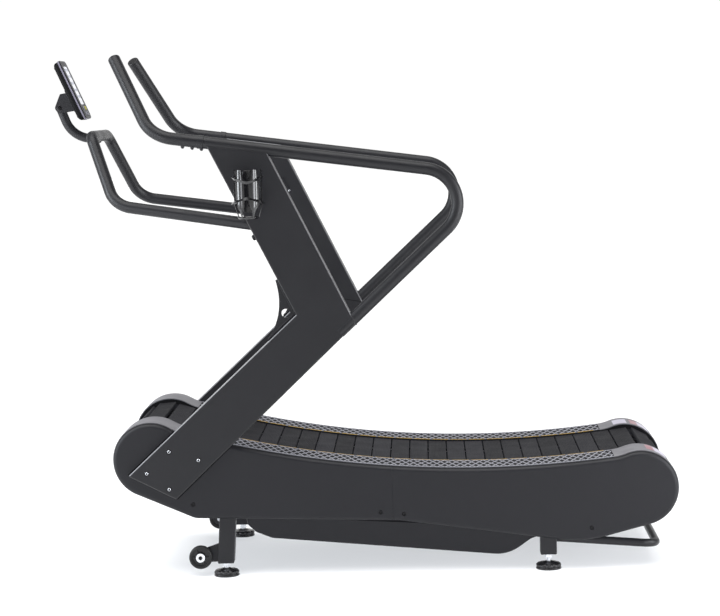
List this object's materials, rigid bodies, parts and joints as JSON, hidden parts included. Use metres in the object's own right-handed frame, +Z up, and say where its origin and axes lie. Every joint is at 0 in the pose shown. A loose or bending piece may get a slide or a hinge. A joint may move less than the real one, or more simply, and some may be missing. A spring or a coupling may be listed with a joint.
{
  "type": "curved manual treadmill",
  "caption": "Curved manual treadmill with a self-powered slat belt, two angled uprights with handrail loops, front handlebar, small tilting console, bottle cage and levelling feet.",
  "frame": {"origin": "centre of the footprint of the whole object, on the floor", "axes": "+X towards the rear of the deck, +Y towards the runner's right, +Z up"},
  "size_m": [1.9212, 0.9136, 1.6117],
  "materials": {
    "frame_paint": "satin powder coat, fine grain",
    "bare_steel": "machined",
    "drum_alloy": "turned",
    "cover_plastic": "fine moulded texture",
    "trim_plastic": "grey, moulded grip pattern on the foot rails",
    "black_plastic": "gloss",
    "slat_rubber": "ribbed, matt",
    "wheel_rubber": "smooth",
    "foot_rubber": "moulded",
    "bright_fastener": "polished",
    "screen": "clear lens over a pale display",
    "key_grey": "matt",
    "key_green": "matt"
  },
  "bodies": {
    "frame": {"side_frame_left": "frame_paint", "upright_left": "frame_paint", "handrail_loop_left": "frame_paint", "handrail_grip_left": "frame_paint", "front_post_left": "frame_paint", "rear_post_left": "frame_paint", "bearing_rail_left": "bare_steel", "rear_bearing_left": "bare_steel", "front_cover_left": "cover_plastic", "rear_cover_left": "cover_plastic", "foot_rail_left": "trim_plastic", "front_arch_cover_left": "trim_plastic", "rear_arch_cover_left": "trim_plastic", "grip_end_cap_left": "black_plastic", "side_frame_right": "frame_paint", "upright_right": "frame_paint", "handrail_loop_right": "frame_paint", "handrail_grip_right": "frame_paint", "front_post_right": "frame_paint", "rear_post_right": "frame_paint", "bearing_rail_right": "bare_steel", "rear_bearing_right": "bare_steel", "front_cover_right": "cover_plastic", "rear_cover_right": "cover_plastic", "foot_rail_right": "trim_plastic", "front_arch_cover_right": "trim_plastic", "rear_arch_cover_right": "trim_plastic", "grip_end_cap_right": "black_plastic", "front_bearing_left": "bare_steel", "front_one_way_bearing": "bare_steel", "front_cross_beam": "frame_paint", "rear_cross_beam": "frame_paint", "rear_lift_handle": "frame_paint", "lower_handlebar": "frame_paint", "console_stem": "frame_paint", "slat_belt": "slat_rubber", "belly_pan": "cover_plastic", "bottle_holder": "black_plastic", "console_pivot_bolt": "bright_fastener"},
    "front_drum": {"front_shaft": "bare_steel", "front_pulley_left": "drum_alloy", "front_pulley_right": "drum_alloy"},
    "rear_drum": {"rear_shaft": "bare_steel", "rear_pulley_left": "drum_alloy", "rear_pulley_right": "drum_alloy"},
    "wheel_left": {"transport_wheel_left": "wheel_rubber"},
    "wheel_right": {"transport_wheel_right": "wheel_rubber"},
    "foot_front_left": {"front_levelling_foot_left": "foot_rubber"},
    "foot_front_right": {"front_levelling_foot_right": "foot_rubber"},
    "foot_rear_left": {"rear_levelling_foot_left": "foot_rubber"},
    "foot_rear_right": {"rear_levelling_foot_right": "foot_rubber"},
    "console_head": {"console_bracket": "frame_paint", "console_back_shell": "black_plastic", "console_bezel": "cover_plastic", "console_display": "screen"},
    "key_start": {"console_key_start": "key_green"},
    "key_stop": {"console_key_stop": "key_grey"},
    "key_mode": {"console_key_mode": "key_grey"},
    "key_target": {"console_key_target": "key_grey"}
  },
  "joints": [
    {"name": "front_drum_spin", "type": "hinge", "parent": "frame", "child": "front_drum", "pos_m": [-0.652, 0.046, 0.37], "axis": [0, 1, 0], "continuous": true},
    {"name": "rear_drum_spin", "type": "hinge", "parent": "frame", "child": "rear_drum", "pos_m": [0.847, 0.046, 0.25], "axis": [0, 1, 0], "continuous": true},
    {"name": "wheel_left_spin", "type": "hinge", "parent": "frame", "child": "wheel_left", "pos_m": [-0.51, -0.286, 0.06], "axis": [0, 1, 0], "continuous": true},
    {"name": "wheel_right_spin", "type": "hinge", "parent": "frame", "child": "wheel_right", "pos_m": [-0.51, 0.378, 0.06], "axis": [0, 1, 0], "continuous": true},
    {"name": "foot_front_left_turn", "type": "hinge", "parent": "frame", "child": "foot_front_left", "pos_m": [-0.432, -0.277, 0], "axis": [0, 0, 1], "continuous": true},
    {"name": "foot_front_right_turn", "type": "hinge", "parent": "frame", "child": "foot_front_right", "pos_m": [-0.432, 0.369, 0], "axis": [0, 0, 1], "continuous": true},
    {"name": "foot_rear_left_turn", "type": "hinge", "parent": "frame", "child": "foot_rear_left", "pos_m": [0.562, -0.277, 0], "axis": [0, 0, 1], "continuous": true},
    {"name": "foot_rear_right_turn", "type": "hinge", "parent": "frame", "child": "foot_rear_right", "pos_m": [0.562, 0.369, 0], "axis": [0, 0, 1], "continuous": true},
    {"name": "console_tilt", "type": "hinge", "parent": "frame", "child": "console_head", "pos_m": [-0.944, 0.046, 1.453], "axis": [0, 1, 0], "range_deg": [-25, 8]},
    {"name": "key_start_press", "type": "slide", "parent": "console_head", "child": "key_start", "axis": [-0.9164, 0, -0.4003], "range_m": [0, 0.0012], "stiffness_N_per_m": 500, "springref_m": -0.0008},
    {"name": "key_stop_press", "type": "slide", "parent": "console_head", "child": "key_stop", "axis": [-0.9164, 0, -0.4003], "range_m": [0, 0.0012], "stiffness_N_per_m": 500, "springref_m": -0.0008},
    {"name": "key_mode_press", "type": "slide", "parent": "console_head", "child": "key_mode", "axis": [-0.9164, 0, -0.4003], "range_m": [0, 0.0012], "stiffness_N_per_m": 500, "springref_m": -0.0008},
    {"name": "key_target_press", "type": "slide", "parent": "console_head", "child": "key_target", "axis": [-0.9164, 0, -0.4003], "range_m": [0, 0.0012], "stiffness_N_per_m": 500, "springref_m": -0.0008}
  ],
  "couplings": [
    {"joint": "rear_drum_spin", "follows": "front_drum_spin", "ratio": 1}
  ]
}
